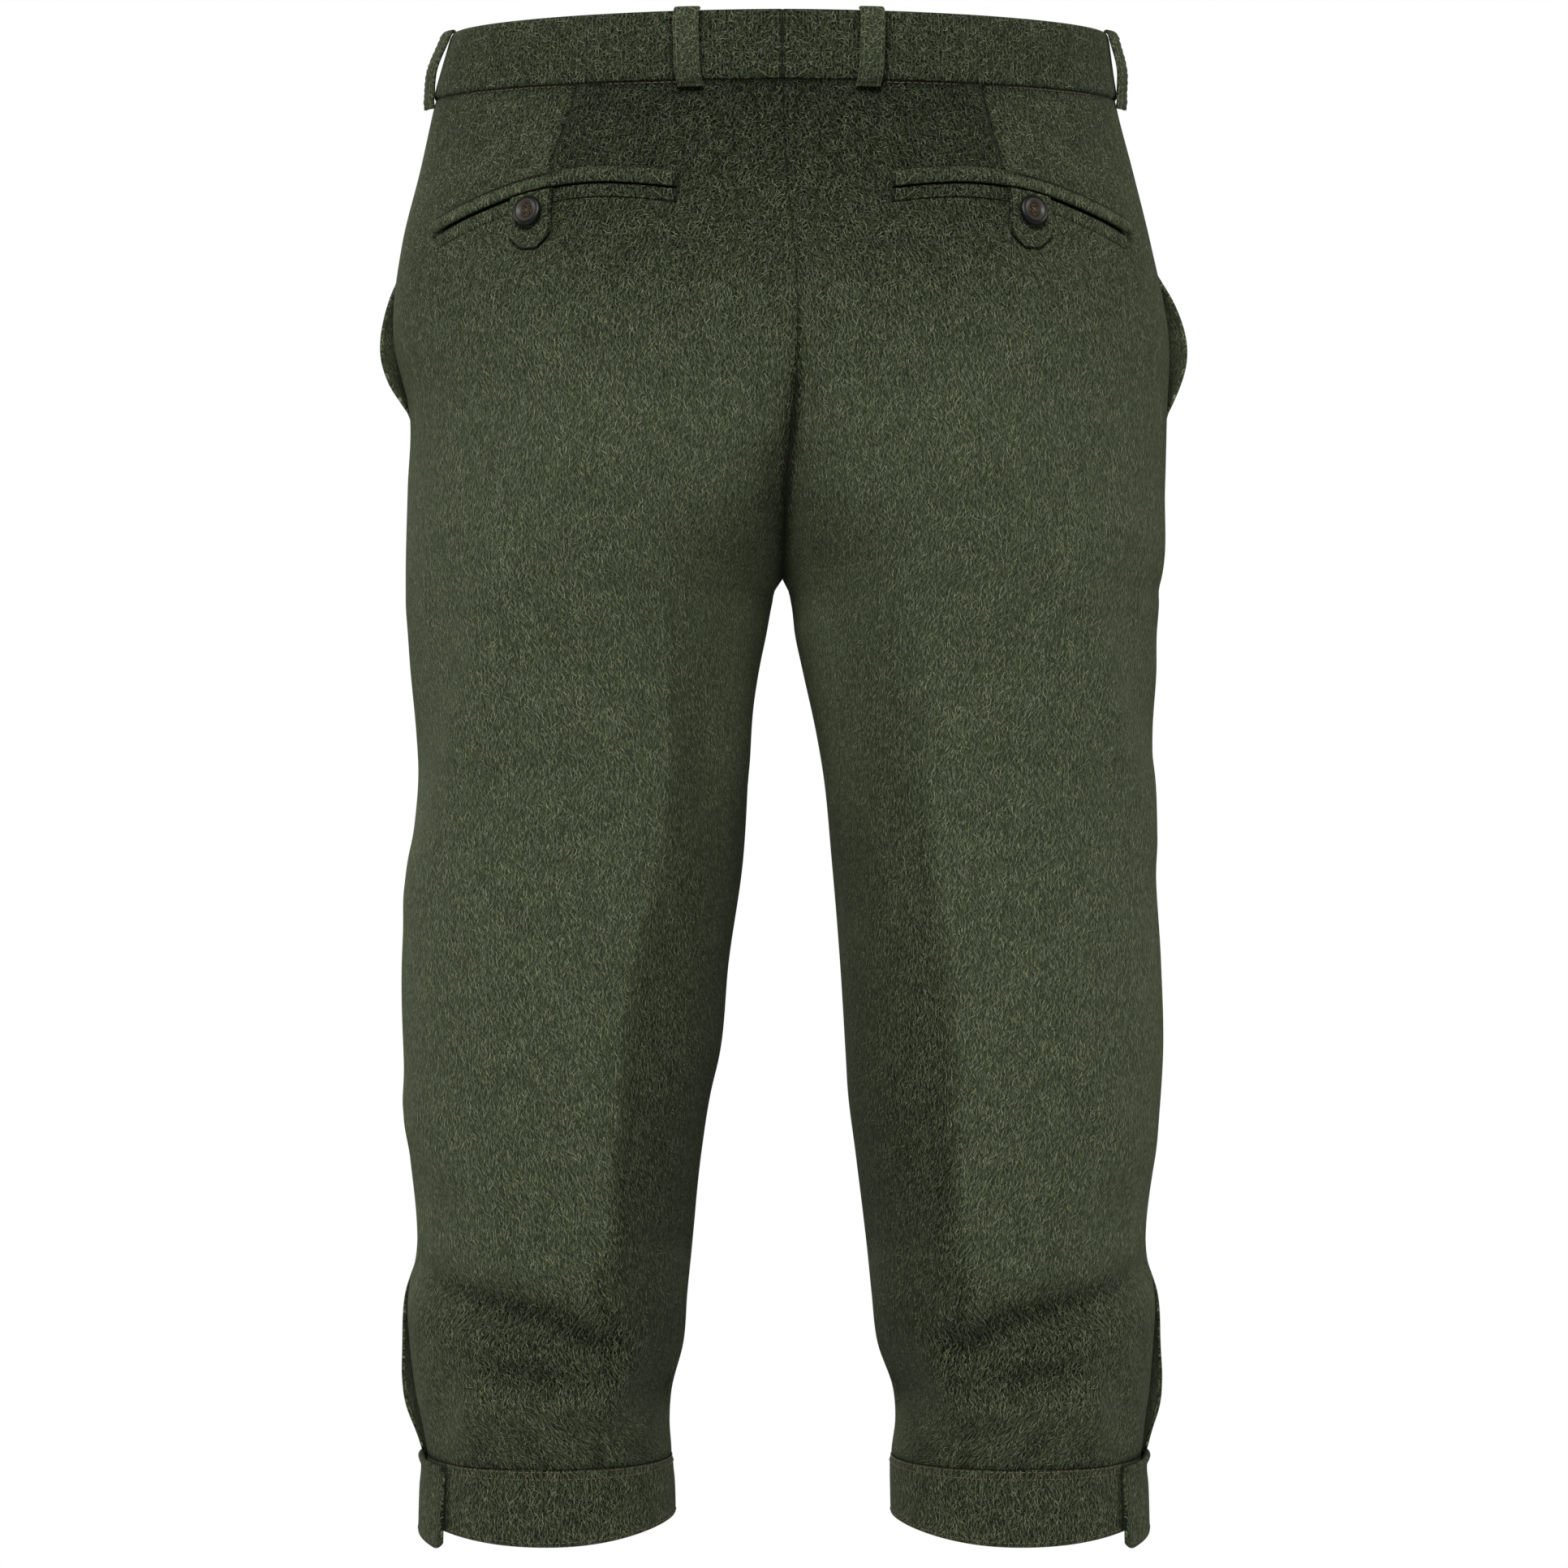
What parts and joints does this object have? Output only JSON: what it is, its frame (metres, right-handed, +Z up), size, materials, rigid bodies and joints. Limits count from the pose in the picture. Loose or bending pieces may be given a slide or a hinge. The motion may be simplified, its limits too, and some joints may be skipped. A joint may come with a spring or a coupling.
{
  "type": "knee breeches",
  "caption": "Knee breeches in heavy dark green wool, hollow as worn, with waistband, belt loops, welt pockets, side vents and tabbed cuffs that close under the knee.",
  "frame": {"origin": "middle of the waistband's ring at half its height, where the wearer's waist holds the garment", "axes": "+Z up; the wearer faces -Y, so the seat is at +Y; +X is the wearer's left"},
  "size_m": [0.4074, 0.2579, 0.7626],
  "materials": {
    "wool": "milled, brushed wool, matt",
    "inner_wool": "milled wool, in shadow",
    "horn": "dark horn, lightly polished"
  },
  "bodies": {
    "root": {"back_panel_left": "wool", "back_panel_right": "wool", "back_pocket_button_left": "horn", "back_pocket_button_right": "horn", "back_pocket_tab_left": "wool", "back_pocket_tab_right": "wool", "back_pocket_welt_lower_left": "wool", "back_pocket_welt_lower_right": "wool", "back_pocket_welt_upper_left": "wool", "back_pocket_welt_upper_right": "wool", "belt_loop_back_left": "wool", "belt_loop_back_right": "wool", "belt_loop_front_left": "wool", "belt_loop_front_right": "wool", "belt_loop_side_left": "wool", "belt_loop_side_right": "wool", "cuff_left": "wool", "cuff_right": "wool", "cuff_tab_left": "wool", "cuff_tab_right": "wool", "fly_lap": "wool", "front_panel_left": "wool", "front_panel_right": "wool", "side_pocket_facing_left": "inner_wool", "side_pocket_facing_right": "inner_wool", "waist_button": "horn", "waistband_left": "wool", "waistband_right": "wool"}
  },
  "joints": []
}
